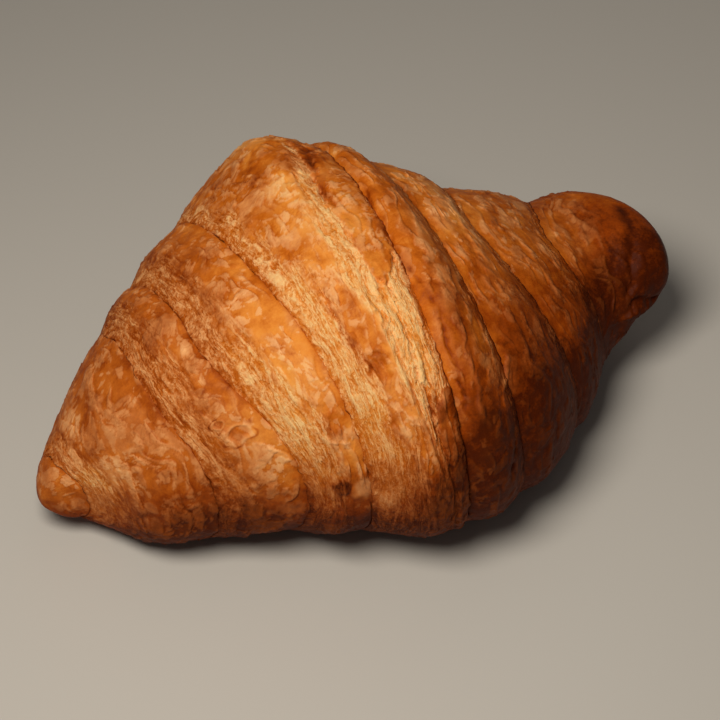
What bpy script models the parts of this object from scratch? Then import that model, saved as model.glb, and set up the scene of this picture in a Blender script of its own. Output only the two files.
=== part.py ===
"""A plain baked croissant, modelled as one closed solid.

The croissant lies along X on its flat base, with its front towards -Y and +Z up. Its surface is
a run of rings around the body. The rings slant as the wraps of the rolled dough do. Each ring
takes its outline from the body's own sections, and is then pushed out or drawn in, so that every
wrap laps over the one nearer its tip. Lengths are in metres.
"""
import math

import bmesh
import bpy

MM = 0.001

# Body sections: place along X, half width to the front, half width to the back, top, underside.
SECTIONS_MM = (
    (-71.5, 3.0, 5.0, 13.0, 6.0),
    (-63.0, 6.5, 11.0, 20.5, 4.0),
    (-48.5, 22.0, 24.5, 35.5, 0.5),
    (-28.5, 31.5, 39.5, 49.5, -1.0),
    (-8.5, 43.5, 49.0, 59.0, -1.5),
    (8.5, 50.0, 47.0, 61.0, -1.5),
    (25.5, 45.0, 38.5, 51.5, -1.0),
    (43.0, 31.0, 31.0, 40.0, 1.0),
    (60.0, 14.0, 27.0, 32.0, 8.5),
    (68.5, 12.5, 22.0, 34.0, 14.0),
    (74.0, 15.0, 20.0, 35.5, 14.0),
)
WIDEST_LEVEL = 0.42      # height of the widest level, as a share of the section's height
SIDE_ROUNDNESS = 2.2     # exponents of the section's sides, its crown and its underside
CROWN_ROUNDNESS = 2.1
BASE_ROUNDNESS = 2.8

# Round ends of the two tips: where the rounding starts, where the tip ends, and its fullness.
LEFT_TIP = (-64.0 * MM, -69.5 * MM, 2.0)
RIGHT_TIP = (60.0 * MM, 76.5 * MM, 2.15)

# Creases between the wraps: place on the crown, on the front and on the back, the height of the
# step in front of the crown and behind it, and how late the crease turns towards the front.
CREASES_MM = (
    (-64.4, -60.4, -66.5, 1.9, 0.8, 2.2),
    (-44.8, -37.8, -47.0, 1.2, 1.0, 2.3),
    (-33.2, -20.8, -38.0, 1.3, 2.2, 2.4),
    (-17.5, -9.5, -25.0, 2.4, 0.6, 1.0),
    (10.0, 8.0, 8.0, 2.8, 2.4, 1.0),
    (20.5, 22.0, 17.0, 2.2, 1.6, 1.0),
    (31.5, 41.0, 35.0, 2.1, 2.4, 1.0),
    (49.0, 54.0, 56.0, 0.9, 2.2, 1.0),
)
CROWN_WRAP = 3           # the crease that the crown's own wrap starts at

# One wrap, from the crease at its cut edge (0) to the crease of the wrap above it (1), as pairs of
# share and height in steps. The cut edge climbs in terraces, one for each bundle of thin layers.
# The wraps left of the crown lie flat like shingles, and those right of it are rounder.
LEFT_WRAP = ((0.0, -0.5), (0.04, -0.28), (0.14, -0.12), (0.19, 0.06), (0.28, 0.14), (0.33, 0.34),
             (0.45, 0.5), (0.6, 0.4), (0.8, 0.0), (0.95, -0.38))
RIGHT_WRAP = ((0.0, -0.5), (0.04, -0.2), (0.1, 0.0), (0.16, 0.2), (0.25, 0.36), (0.4, 0.5),
              (0.6, 0.42), (0.75, 0.18), (0.88, -0.12), (0.96, -0.38))
# The crown's wrap, which has a terraced cut edge on both sides of a narrow ridge of skin.
CROWN_PROFILE = ((0.0, -0.5), (0.03, -0.28), (0.11, -0.06), (0.15, 0.14), (0.24, 0.26),
                 (0.29, 0.46), (0.4, 0.6), (0.52, 0.72), (0.58, 0.8), (0.63, 0.62), (0.71, 0.52),
                 (0.76, 0.36), (0.86, 0.16), (0.91, 0.0), (0.97, -0.15))

BASE_FADE = 0.7          # how much of a step is lost under the base
TIP_SWELL = 0.15         # swelling of the right tip, as a share of its step
TIP_GROOVE = 0.6         # depth of the groove where the right tip starts, as a share of it
WANDER = 0.7 * MM        # how far a terrace's edge strays to either side

# Slow waves over the whole crust, and the hump of risen dough behind the crown.
WAVE_HEIGHT = 0.3 * MM
WAVE_LENGTH = 9.0 * MM
HUMP_HEIGHT = 3.4 * MM
HUMP_X = -1.0 * MM
HUMP_WIDTH = 7.5 * MM
HUMP_ANGLE = math.radians(46)
HUMP_SPREAD = math.radians(26)

RING_POINTS = 48
TIP_RINGS = 6
SHARP_EDGE = math.radians(50)

CRUST_COLOUR = (0.40, 0.17, 0.045, 1.0)
CRUST_ROUGHNESS = 0.5


def smooth_value(places, values, at):
    """Value of a smooth curve through the stations, without overshoot between them."""
    if at <= places[0]:
        return values[0]
    if at >= places[-1]:
        return values[-1]
    count = len(places)
    rises = [(values[i + 1] - values[i]) / (places[i + 1] - places[i]) for i in range(count - 1)]
    left = max(i for i in range(count - 1) if places[i] <= at)

    def slope(i):
        if i in (0, count - 1):
            return rises[min(i, count - 2)]
        before, after = rises[i - 1], rises[i]
        if before * after <= 0.0:
            return 0.0
        return 2.0 * before * after / (before + after)

    span = places[left + 1] - places[left]
    t = (at - places[left]) / span
    start = (2 * t**3 - 3 * t**2 + 1) * values[left] + (t**3 - 2 * t**2 + t) * span * slope(left)
    end = (3 * t**2 - 2 * t**3) * values[left + 1] + (t**3 - t**2) * span * slope(left + 1)
    return start + end


SECTION_PLACES = [row[0] * MM for row in SECTIONS_MM]
SECTION_VALUES = [[row[column] * MM for row in SECTIONS_MM] for column in (1, 2, 3, 4)]


def tip_rounding(x):
    """Share of the section that is left at x, which falls to nothing at either tip."""
    share = 1.0
    for start, end, fullness in (LEFT_TIP, RIGHT_TIP):
        reach = (x - start) / (end - start)
        if reach > 0.0:
            share = max(0.0, 1.0 - min(reach, 1.0) ** fullness) ** (1.0 / fullness)
    return share


def section_point(x, angle, push):
    """Point of the body at x, with the angle measured from the back over the crown."""
    front, back, top, base = (smooth_value(SECTION_PLACES, values, x) for values in SECTION_VALUES)
    rounding = tip_rounding(x)
    middle = base + (top - base) * WIDEST_LEVEL
    side, rise = math.cos(angle), math.sin(angle)
    half_width = back if side > 0 else front
    y = half_width * math.copysign(abs(side) ** (2 / SIDE_ROUNDNESS), side) * rounding
    if rise > 0:
        z = (top - middle) * rise ** (2 / CROWN_ROUNDNESS) * rounding
    else:
        z = -(middle - base) * (-rise) ** (2 / BASE_ROUNDNESS) * rounding
    reach = math.hypot(y, z)
    grow = 1.0 + push / reach if reach > 1e-9 else 1.0
    return x, y * grow, max(0.0, middle + z * grow)


def crease_x(crease, angle):
    """Place along X of a crease at an angle around the body."""
    crown, front, back = (value * MM for value in crease[:3])
    side = math.cos(angle)
    forward = max(-side, 0.0) ** crease[5]
    return crown + (front - crown) * forward + (back - crown) * max(side, 0.0)


def swell(x, angle):
    """Slow unevenness of the baked dough, and the hump behind the crown."""
    along = math.sin(x / WAVE_LENGTH + 1.3 * math.sin(2 * angle))
    around = math.sin(3 * angle + 0.6 * x / WAVE_LENGTH)
    place = (x - HUMP_X) / HUMP_WIDTH
    turn = (angle - HUMP_ANGLE) / HUMP_SPREAD
    return WAVE_HEIGHT * (along + 0.8 * around) + HUMP_HEIGHT * math.exp(-place**2 - turn**2)


def step_height(crease, angle):
    """Height of a crease's step, which fades under the flat base."""
    behind = 0.5 + 0.5 * math.cos(angle)
    step = crease[3] + (crease[4] - crease[3]) * behind**2
    return step * MM * (1.0 + BASE_FADE * min(math.sin(angle), 0.0))


def ring_rows():
    """Rings from tip to tip: the two lines a ring lies between, its share, its crease, its height."""
    rows = []
    first, last = CREASES_MM[0], CREASES_MM[-1]
    shares = [math.sin(0.5 * math.pi * (index + 0.35) / TIP_RINGS) for index in range(TIP_RINGS)]
    for share in shares:
        rows.append((LEFT_TIP[1], first, share, first, -0.5 * share**4))
    for index, (here, beyond) in enumerate(zip(CREASES_MM, CREASES_MM[1:])):
        if index < CROWN_WRAP:
            rows += [(here, beyond, share, here, height) for share, height in LEFT_WRAP]
        elif index == CROWN_WRAP:
            rows += [(here, beyond, share, here if share < 0.5 else beyond, height)
                     for share, height in CROWN_PROFILE]
        else:
            rows.append((here, beyond, 0.0, here, -0.5))
            rows += [(here, beyond, 1.0 - share, beyond, height)
                     for share, height in reversed(RIGHT_WRAP[1:])]
    rows.append((last, last, 0.0, last, -0.5))
    for share in reversed(shares):
        height = TIP_SWELL * math.sin(math.pi * share) - TIP_GROOVE * share**8
        rows.append((RIGHT_TIP[1], last, share, last, height))
    return rows


def ring_point(row, angle):
    """One point of a ring, between the two lines that the ring is measured from."""
    start, end, share, crease, height = row
    from_x = start if isinstance(start, float) else crease_x(start, angle)
    x = from_x + (crease_x(end, angle) - from_x) * share
    stray = math.sin(5 * angle + 9 * share) + math.sin(8 * angle - 21 * share)
    x += WANDER * stray * 2 * share * (1 - share)
    push = height * step_height(crease, angle) + swell(x, angle) * tip_rounding(x)
    return section_point(x, angle, push)


def next_ring(shape, ring):
    """Extrude a ring of points once more, and give the new points in the same order."""
    edges = [shape.edges.get(pair) for pair in zip(ring, ring[1:] + ring[:1])]
    grown = bmesh.ops.extrude_edge_only(shape, edges=edges)["geom"]
    fresh = {item for item in grown if isinstance(item, bmesh.types.BMVert)}
    reached = [[edge.other_vert(vert) for edge in vert.link_edges] for vert in ring]
    return [next(other for other in others if other in fresh) for others in reached]


def build_body(mesh):
    """Extrude a circle ring by ring along the body, and close both tips."""
    shape = bmesh.new()
    circle = bmesh.ops.create_circle(shape, segments=RING_POINTS, radius=10 * MM)
    rows = ring_rows()
    rings = [circle["verts"]]
    for _ in rows[1:]:
        rings.append(next_ring(shape, rings[-1]))
    for row, ring in zip(rows, rings):
        for index, vert in enumerate(ring):
            vert.co = ring_point(row, 2 * math.pi * index / RING_POINTS)
    for ring, x in ((rings[0], LEFT_TIP[1]), (rings[-1], RIGHT_TIP[1])):
        pole = shape.verts.new(section_point(x, 0.0, 0.0))
        for vert, beyond in zip(ring, ring[1:] + ring[:1]):
            shape.faces.new((vert, beyond, pole))
    bmesh.ops.recalc_face_normals(shape, faces=shape.faces)
    shape.to_mesh(mesh)
    shape.free()


def stand_on_origin(mesh):
    """Move the mesh so that the middle of its base lies on the origin."""
    for axis in (0, 1):
        places = [vert.co[axis] for vert in mesh.vertices]
        middle = 0.5 * (min(places) + max(places))
        for vert in mesh.vertices:
            vert.co[axis] -= middle


def crust_material():
    """Egg-washed crust, golden brown."""
    crust = bpy.data.materials.new("crust")
    crust.use_nodes = True
    shader = crust.node_tree.nodes["Principled BSDF"]
    shader.inputs["Base Color"].default_value = CRUST_COLOUR
    shader.inputs["Roughness"].default_value = CRUST_ROUGHNESS
    shader.inputs["Metallic"].default_value = 0.0
    return crust


def build():
    for item in list(bpy.data.objects):
        bpy.data.objects.remove(item)
    mesh = bpy.data.meshes.new("croissant")
    build_body(mesh)
    stand_on_origin(mesh)
    mesh.materials.append(crust_material())
    body = bpy.data.objects.new("croissant", mesh)
    bpy.context.collection.objects.link(body)
    mesh.shade_smooth()
    mesh.set_sharp_from_angle(angle=SHARP_EDGE)


build()
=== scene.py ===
"""A baked croissant: nine wraps of rolled dough, each its own closed shell lapped over the next."""
import math
from types import SimpleNamespace

import bpy
import numpy as np
from mathutils import Matrix, Vector


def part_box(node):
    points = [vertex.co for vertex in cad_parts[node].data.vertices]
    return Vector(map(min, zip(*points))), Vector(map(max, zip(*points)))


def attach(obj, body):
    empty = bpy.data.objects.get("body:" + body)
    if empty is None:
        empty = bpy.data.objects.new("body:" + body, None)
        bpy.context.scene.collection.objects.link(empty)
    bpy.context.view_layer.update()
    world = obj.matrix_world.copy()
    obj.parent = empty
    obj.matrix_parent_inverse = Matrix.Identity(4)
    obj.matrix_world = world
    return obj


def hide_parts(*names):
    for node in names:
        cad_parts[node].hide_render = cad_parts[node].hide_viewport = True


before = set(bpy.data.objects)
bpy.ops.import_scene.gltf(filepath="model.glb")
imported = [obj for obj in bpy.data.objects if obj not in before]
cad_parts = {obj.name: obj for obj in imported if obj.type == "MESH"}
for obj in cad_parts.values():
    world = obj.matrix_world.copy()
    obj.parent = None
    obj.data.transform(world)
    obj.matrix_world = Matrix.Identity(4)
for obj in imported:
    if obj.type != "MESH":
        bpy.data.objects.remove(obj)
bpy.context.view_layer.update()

MM = 0.001
NODE = "croissant"
BODY = "root"
LEFT_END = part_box(NODE)[0][0]        # metres along X

# ---------------------------------------------------------------------------------------------
# The form of the loaf, in millimetres from the middle of the rolling axis. Angles go round the
# loaf: 0 degrees is the back, 90 the crown, 180 the front and 270 the base.

# Body sections: place along X, half width to the front, half width to the back, top, underside.
SECTIONS = np.array((
    (-71.5, 3.0, 5.0, 13.0, 6.0),
    (-63.0, 6.5, 11.0, 20.5, 4.0),
    (-48.5, 22.0, 24.5, 35.5, 0.5),
    (-28.5, 31.5, 39.5, 49.5, -1.0),
    (-8.5, 43.5, 49.0, 59.0, -1.5),
    (8.5, 50.0, 47.0, 61.0, -1.5),
    (25.5, 45.0, 38.5, 51.5, -1.0),
    (43.0, 31.0, 31.0, 40.0, 1.0),
    (60.0, 14.0, 27.0, 32.0, 8.5),
    (68.5, 12.5, 22.0, 34.0, 14.0),
    (74.0, 15.0, 20.0, 35.5, 14.0),
))
WIDEST_LEVEL = 0.42
SIDE_ROUNDNESS, CROWN_ROUNDNESS, BASE_ROUNDNESS = 2.2, 2.1, 2.8
LEFT_TIP = (-64.0, -69.5, 2.0)       # where the rounding starts, where the tip ends, fullness
RIGHT_TIP = (60.0, 76.5, 2.15)
SHIFT_X = LEFT_END / MM - LEFT_TIP[1]  # from the rolling axis' own middle to the frame's

# Creases between the wraps: place on the crown, the front and the back, the height of the step
# in front of the crown and behind it, and how late the crease turns towards the front.
CREASES = (
    (-64.4, -60.4, -66.5, 1.9, 0.8, 2.2),
    (-44.8, -37.8, -47.0, 1.2, 1.0, 2.3),
    (-33.2, -20.8, -38.0, 1.3, 2.2, 2.4),
    (-17.5, -9.5, -25.0, 2.4, 0.6, 1.0),
    (10.0, 8.0, 8.0, 2.8, 2.4, 1.0),
    (20.5, 22.0, 17.0, 2.2, 1.6, 1.0),
    (31.5, 41.0, 35.0, 2.1, 2.4, 1.0),
    (49.0, 54.0, 56.0, 0.9, 2.2, 1.0),
)
# Cut edges: how far each reaches from its crease, at a number of degrees round the loaf.
CUT_OUTER = ((20, 2.0), (74, 2.5), (99, 3.5), (119, 4.3), (137, 5.2), (154, 6.3), (182, 8.0))
CUT_MIDDLE = ((20, 3.0), (60, 5.0), (92, 5.9), (116, 6.4), (138, 5.5), (158, 4.6), (182, 6.1))
CUT_INNER = ((20, 3.0), (60, 4.5), (105, 6.3), (118, 7.6), (141, 7.7), (149, 8.8), (163, 7.8),
             (182, 5.4))
CUT_CROWN_LEFT = ((20, 2.0), (60, 4.0), (97, 5.3), (110, 6.6), (124, 6.0), (133, 7.2), (156, 6.5),
                  (167, 8.5), (184, 11.8))
CUT_CROWN_RIGHT = ((20, 3.0), (60, 7.0), (80, 12.0), (99, 13.0), (114, 11.0), (129, 8.7),
                   (144, 8.2), (152, 7.3), (162, 6.1), (177, 4.4))
CUT_RIGHT = ((20, 1.1), (180, 1.2))
# One wrap from its cut edge (0) to the crease of the wrap above it (1): share of the width, and
# height in steps. The left wraps lie flat like shingles and the right ones are rounder.
LEFT_WRAP = np.array(((0.0, -0.4), (0.08, -0.2), (0.2, 0.08), (0.32, 0.34), (0.45, 0.5),
                      (0.6, 0.4), (0.8, 0.0), (1.0, -0.5)))
RIGHT_WRAP = np.array(((0.0, -0.42), (0.06, -0.15), (0.14, 0.12), (0.25, 0.36), (0.4, 0.5),
                       (0.6, 0.42), (0.82, 0.02), (1.0, -0.5)))
CROWN_WRAP = np.array(((0.0, -0.4), (0.06, -0.18), (0.16, 0.12), (0.3, 0.46), (0.42, 0.62),
                       (0.52, 0.72), (0.58, 0.8), (0.64, 0.66), (0.75, 0.42), (0.88, 0.12),
                       (0.96, -0.14), (1.0, -0.4)))
BASE_FADE = 0.7                      # how much of a step is lost under the base
TIP_SWELL, TIP_GROOVE = 0.15, 0.6     # of the right tip, as shares of its step

WAVE_HEIGHT, WAVE_LENGTH = 0.3, 9.0
HUMP_HEIGHT, HUMP_X, HUMP_WIDTH = 3.4, -1.0, 7.5
HUMP_ANGLE, HUMP_SPREAD = math.radians(46), math.radians(26)

LIP = 0.45               # how far a cut edge hangs over the wrap below
LIP_ROOT = 0.6           # how far from the edge the crust begins to follow the lip
TUCK_SHARE = 0.06        # share of the rings that lie hidden under the neighbouring wrap
TUCK_DEPTH = 3.2         # how deep the hidden margin dives
LIP_TUCK, PLAIN_TUCK = 1.8, 2.0      # how far it runs along X, under a cut edge and elsewhere
PLAIN_SINK = 0.2         # how much lower it starts where there is no cut edge
CROWN_BUNCHING = 0.33    # how much closer together the points lie on the crown
WRAP_APART = 100.0       # sets the wraps' strands apart, so that no two have the same pattern
SLANT = 1.12             # length over the crust for each millimetre along X


def curve_through(places, values, at):
    """Smooth curve through the stations without overshoot, read at many places at once."""
    rises = np.diff(values) / np.diff(places)
    before, after = rises[:-1], rises[1:]
    total = np.where(before + after == 0, 1.0, before + after)
    inner = np.where(before * after > 0, 2 * before * after / total, 0.0)
    slopes = np.concatenate((rises[:1], inner, rises[-1:]))
    at = np.clip(at, places[0], places[-1])
    left = np.clip(np.searchsorted(places, at, side="right") - 1, 0, len(places) - 2)
    span = places[left + 1] - places[left]
    t = (at - places[left]) / span
    start = (2 * t**3 - 3 * t**2 + 1) * values[left] + (t**3 - 2 * t**2 + t) * span * slopes[left]
    end = (3 * t**2 - 2 * t**3) * values[left + 1] + (t**3 - t**2) * span * slopes[left + 1]
    return start + end


def tip_rounding(x):
    """Share of the section that is left at x, which falls to nothing at either tip."""
    share = np.ones_like(x)
    for start, end, fullness in (LEFT_TIP, RIGHT_TIP):
        reach = np.clip((x - start) / (end - start), 0.0, 1.0)
        share = share * (1.0 - reach**fullness) ** (1.0 / fullness)
    return share


def loaf_point(x, angle, push):
    """Points of the loaf, pushed out of its section by some millimetres."""
    front, back, top, base = (curve_through(SECTIONS[:, 0], SECTIONS[:, column], x)
                              for column in (1, 2, 3, 4))
    rounding = tip_rounding(x)
    middle = base + (top - base) * WIDEST_LEVEL
    side, rise = np.cos(angle), np.sin(angle)
    y = np.where(side > 0, back, front) * np.sign(side) * np.abs(side) ** (2 / SIDE_ROUNDNESS)
    over = (top - middle) * np.abs(rise) ** (2 / CROWN_ROUNDNESS)
    under = -(middle - base) * np.abs(rise) ** (2 / BASE_ROUNDNESS)
    y, z = y * rounding, np.where(rise > 0, over, under) * rounding
    reach = np.hypot(y, z)
    grow = np.maximum(1.0 + push / np.maximum(reach, 1e-6), 0.0)
    return np.stack((x, y * grow, middle + z * grow), axis=1)


def crease_x(crease, angle):
    """Place along X of a crease at an angle around the loaf."""
    crown, front, back = crease[:3]
    side = np.cos(angle)
    forward = np.maximum(-side, 0) ** crease[5]
    return crown + (front - crown) * forward + (back - crown) * np.maximum(side, 0)


def step_height(crease, angle):
    behind = (0.5 + 0.5 * np.cos(angle)) ** 2
    step = crease[3] + (crease[4] - crease[3]) * behind
    return step * (1.0 + BASE_FADE * np.minimum(np.sin(angle), 0.0))


def swell(x, angle):
    """Slow unevenness of the baked dough, and the hump behind the crown."""
    along = np.sin(x / WAVE_LENGTH + 1.3 * np.sin(2 * angle))
    around = np.sin(3 * angle + 0.6 * x / WAVE_LENGTH)
    hump = np.exp(-((x - HUMP_X) / HUMP_WIDTH) ** 2 - ((angle - HUMP_ANGLE) / HUMP_SPREAD) ** 2)
    return WAVE_HEIGHT * (along + 0.8 * around) + HUMP_HEIGHT * hump


# ---------------------------------------------------------------------------------------------
# Unevenness of dough: smooth noise that is the same each time.

def mixed_bits(cells, seed):
    """Three numbers from -1 to 1 for each cell of a grid."""
    with np.errstate(over="ignore"):
        bits = (cells[0] * np.uint32(0x9E3779B1)) ^ (cells[1] * np.uint32(0x85EBCA77))
        bits ^= (cells[2] * np.uint32(0xC2B2AE3D)) ^ np.uint32((seed * 0x27D4EB2F) & 0xFFFFFFFF)
        bits ^= bits >> np.uint32(15)
        bits *= np.uint32(0x2C1B3C6D)
        bits ^= bits >> np.uint32(12)
        bits *= np.uint32(0x297A2D39)
        bits ^= bits >> np.uint32(15)
    parts = [(bits >> np.uint32(shift)) & np.uint32(1023) for shift in (0, 10, 20)]
    return [part.astype(np.float32) / 511.5 - 1.0 for part in parts]


def clouds(spots, size, seed):
    """Soft lumps, from about -1 to 1, as large as size along each of the three directions."""
    spots = (np.asarray(spots, dtype=np.float32) / np.asarray(size, dtype=np.float32)) + 131.7
    floor = np.floor(spots)
    part = spots - floor
    cells = floor.astype(np.int64).astype(np.uint32)
    fade = part**3 * (part * (part * 6 - 15) + 10)
    total = np.zeros(len(spots), dtype=np.float32)
    for corner in range(8):
        bit = np.array([corner & 1, corner >> 1 & 1, corner >> 2 & 1])
        pull = mixed_bits([cells[:, axis] + np.uint32(bit[axis]) for axis in range(3)], seed)
        value = sum(pull[axis] * (part[:, axis] - bit[axis]) for axis in range(3))
        weight = np.prod([fade[:, axis] if bit[axis] else 1 - fade[:, axis] for axis in range(3)],
                         axis=0)
        total += weight * value
    return total * 1.5


def shards(spots, size, seed):
    """Flat pieces as large as size, each at its own level and tilt, both from about -1 to 1, and
    how far a point lies from the nearest rim."""
    spots = (np.asarray(spots, dtype=np.float32) / np.asarray(size, dtype=np.float32)) + 131.7
    floor = np.floor(spots - 0.5)
    nearest = np.full(len(spots), 9.0, dtype=np.float32)
    second = nearest.copy()
    level, tilt = np.zeros_like(nearest), np.zeros_like(nearest)
    for corner in range(8):
        cells = floor + np.array([corner & 1, corner >> 1 & 1, corner >> 2 & 1], dtype=np.float32)
        numbers = [cells[:, axis].astype(np.int64).astype(np.uint32) for axis in range(3)]
        stray = mixed_bits(numbers, seed)
        away = [spots[:, axis] - cells[:, axis] - 0.5 - 0.42 * stray[axis] for axis in range(3)]
        far = away[0] ** 2 + away[1] ** 2 + away[2] ** 2
        nature = mixed_bits(numbers, seed + 500)
        closer = far < nearest
        second = np.where(closer, nearest, np.minimum(second, far))
        level = np.where(closer, nature[0], level)
        lean = (nature[1] * away[0] + nature[2] * away[1] - nature[1] * nature[2] * away[2]) * 1.6
        tilt = np.where(closer, lean, tilt)
        nearest = np.where(closer, far, nearest)
    return level, tilt, np.sqrt(second) - np.sqrt(nearest)


def ragged_spots(spots, size, amount, seed):
    """Places pushed about by soft lumps, so that what is drawn on them gets uneven outlines."""
    pushes = [clouds(spots, size, seed + axis) for axis in range(3)]
    return spots + amount * np.stack(pushes, axis=1)


def soft_step(value, low, high):
    t = np.clip((value - low) / (high - low), 0.0, 1.0)
    return t * t * (3 - 2 * t)


# ---------------------------------------------------------------------------------------------
# Marks that this croissant carries, by place along X in millimetres and degrees round the loaf.

ARC = 0.8                # millimetres over the crust for each degree round it
WIDE_LINE = 1.4          # a line with this half width or more is drawn unbroken

# Lines: their points, half width, lift, how pale and how brown they are.
LINES = (
    (((-4.6, 68), (-3.2, 79), (-3.0, 99), (-2.0, 114), (-0.5, 121)), 1.2, 0.35, 0.15, -0.14),
    (((-0.8, 118), (-0.2, 128), (-0.2, 138), (0.4, 146), (1.2, 154), (2.2, 165), (3.6, 178)),
     0.5, 0.45, 0.35, -0.1),
    (((1.6, 132), (1.8, 144), (2.4, 153), (3.3, 164), (4.7, 178)), 0.35, 0.3, 0.3, -0.05),
    (((0.9, 130), (1.0, 144), (1.8, 153), (2.8, 164), (4.1, 178)), 0.35, -0.25, 0.0, 0.08),
    (((4.5, 112), (4.3, 120), (3.2, 138), (3.4, 148), (3.9, 158), (4.6, 170)),
     0.4, -0.35, 0.0, 0.15),
    (((-7.6, 112), (-7.0, 124), (-4.9, 134), (-4.2, 146), (-3.5, 157)), 0.5, -0.35, 0.0, 0.2),
    (((10.9, 84), (9.9, 100), (9.9, 108), (10.9, 114), (11.3, 123), (11.0, 134), (10.4, 150)),
     0.45, -0.4, 0.0, 0.25),
    (((8.4, 44), (6.6, 57), (3.0, 74), (2.0, 82), (3.0, 89)), 1.3, -0.8, 0.0, 0.25),
    (((70.0, 70), (68.0, 102), (66.9, 118), (65.5, 130), (64.1, 143), (63.0, 158)),
     1.5, -0.7, 0.0, 0.18),
    (((63.5, 168), (66.6, 182), (69.9, 198)), 0.8, -0.9, 0.0, 0.35),
    (((62.0, 175), (64.2, 181), (66.8, 192), (70.0, 207)), 1.6, 1.3, 0.0, -0.05),
    (((-17.7, 152), (-16.2, 156), (-12.9, 158)), 0.45, 0.35, 0.7, 0.0),
    (((-12.9, 155), (-14.5, 163), (-15.5, 167)), 0.45, 0.3, 0.6, 0.0),
    (((-14.5, 100), (-12.0, 116), (-11.0, 132)), 0.5, 0.3, 0.35, 0.0),
    (((16.7, 95), (15.6, 103), (15.1, 109), (14.7, 114), (14.2, 121)), 1.2, 0.4, 0.45, -0.05),
    (((14.8, 131), (14.2, 137), (14.4, 141), (13.6, 150), (14.1, 158)), 0.5, 0.4, 0.35, 0.0),
    (((29.4, 80), (28.2, 93), (28.5, 99), (28.5, 107)), 0.8, 0.4, 0.4, 0.0),
    (((26.6, 108), (28.6, 112), (31.6, 116)), 0.5, 0.35, 0.35, 0.0),
    (((20.3, 128), (19.9, 134), (20.1, 138)), 0.6, 0.5, 0.5, 0.0),
    (((23.6, 138), (22.7, 143), (20.2, 149), (19.4, 152)), 0.45, 0.5, 0.45, 0.0),
    (((41.5, 97), (41.9, 108), (43.2, 120)), 0.5, 0.35, 0.3, 0.0),
    (((52.6, 84), (52.7, 98), (53.2, 113)), 0.5, 0.35, 0.3, 0.0),
    (((20.1, 165), (19.5, 172), (18.0, 178)), 0.6, -0.8, 0.0, 0.3),
    (((59.4, 60), (58.7, 80), (57.5, 98)), 0.45, 0.3, 0.25, 0.0),
    (((44.0, 120), (47.0, 135), (49.0, 152)), 0.4, 0.25, 0.2, 0.0),
)
# Patches: place, degrees, half length round the loaf, half width along it, lift, pale, brown.
PATCHES = (
    (-4.5, 125, 2.2, 1.5, -0.1, -0.5, 0.1),
    (-3.0, 135, 3.2, 1.6, -0.5, -0.6, 0.12),
    (4.8, 149, 3.4, 1.9, 0.15, 0.2, 0.25),
    (-15.2, 174, 2.4, 1.8, 0.2, -0.2, 0.3),
    (-14.5, 150, 3.5, 3.0, 0.2, 0.0, 0.12),
    (-63.7, 163, 1.6, 1.4, 0.1, 0.7, 0.0),
    (-53.7, 92, 2.4, 1.8, 0.15, 0.6, 0.0),
    (-50.2, 104, 1.6, 2.4, 0.15, 0.6, 0.0),
    (-51.6, 118, 3.0, 1.6, 0.15, 0.6, 0.0),
    (-49.8, 132, 2.0, 2.2, 0.2, 0.5, 0.0),
    (-54.0, 146, 3.2, 2.0, 0.2, 0.3, 0.0),
    (-38.0, 89, 2.6, 3.4, 0.15, 0.7, 0.0),
    (-34.4, 112, 2.4, 1.6, 0.1, 0.4, 0.0),
    (-35.0, 127, 1.8, 1.4, 0.1, 0.5, 0.0),
    (-10.9, 176, 3.4, 2.4, 0.1, 0.7, -0.2),
    (-8.0, 181, 2.6, 1.8, 0.1, 0.5, -0.14),
    (-5.8, 104, 4.5, 2.6, 0.1, 0.0, 0.12),
    (-3.2, 116, 3.0, 1.8, 0.15, 0.0, 0.1),
    (-1.0, 66, 8.0, 9.0, 0.0, -0.35, 0.26),
    (-4.2, 126, 11.0, 3.6, 0.0, 0.0, 0.19),
    (-13.0, 62, 10.0, 6.0, 0.0, -0.1, 0.14),
    (-15.5, 158, 7.0, 4.0, 0.0, 0.0, 0.12),
    (-31.5, 114, 14.0, 4.0, 0.0, -0.12, 0.13),
    (-50.5, 120, 9.0, 5.0, 0.0, 0.22, 0.0),
    (-57.0, 148, 11.0, 5.0, 0.0, 0.2, -0.08),
    (-5.5, 164, 8.0, 5.0, 0.0, 0.0, 0.08),
    (4.8, 122, 14.0, 3.0, 0.0, -0.1, -0.08),
    (20.0, 140, 18.0, 3.5, 0.0, 0.0, -0.16),
    (27.5, 85, 4.0, 2.2, 0.15, 0.3, 0.0),
    (30.5, 119, 3.4, 2.2, 0.2, 0.3, 0.0),
    (14.2, 122, 4.0, 1.8, 0.1, 0.2, 0.0),
    (24.0, 92, 4.0, 2.4, 0.1, 0.25, 0.0),
    (54.0, 84, 4.0, 1.4, 0.15, 0.25, 0.0),
    (70.5, 142, 14.0, 3.4, 0.3, 0.0, -0.2),
)
# Burst blisters: place, degrees, half length round the loaf, half width along it.
BLISTERS = ((-31.4, 146, 2.9, 2.6), (-34.2, 140, 1.5, 1.2))
# Skin that still lies over the crown's cut edge: degrees, its left side, its right side.
CROWN_SKINS = (
    np.array(((20, -2.0, 16.0), (60, 3.0, 14.0), (76, 2.4, 10.6), (88, 1.6, 9.4), (96, 1.9, 9.4),
              (104, 2.2, 8.8), (109, 2.8, 6.8), (113, 3.6, 4.4), (114, 4.0, 3.0))),
    np.array(((144, 8.0, 7.0), (146, 6.5, 9.0), (150, 4.8, 9.5), (156, 3.9, 9.5), (168, 4.6, 9.5),
              (177, 5.4, 9.5), (215, 6.0, 9.5), (216, 7.0, 6.0))),
)


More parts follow.
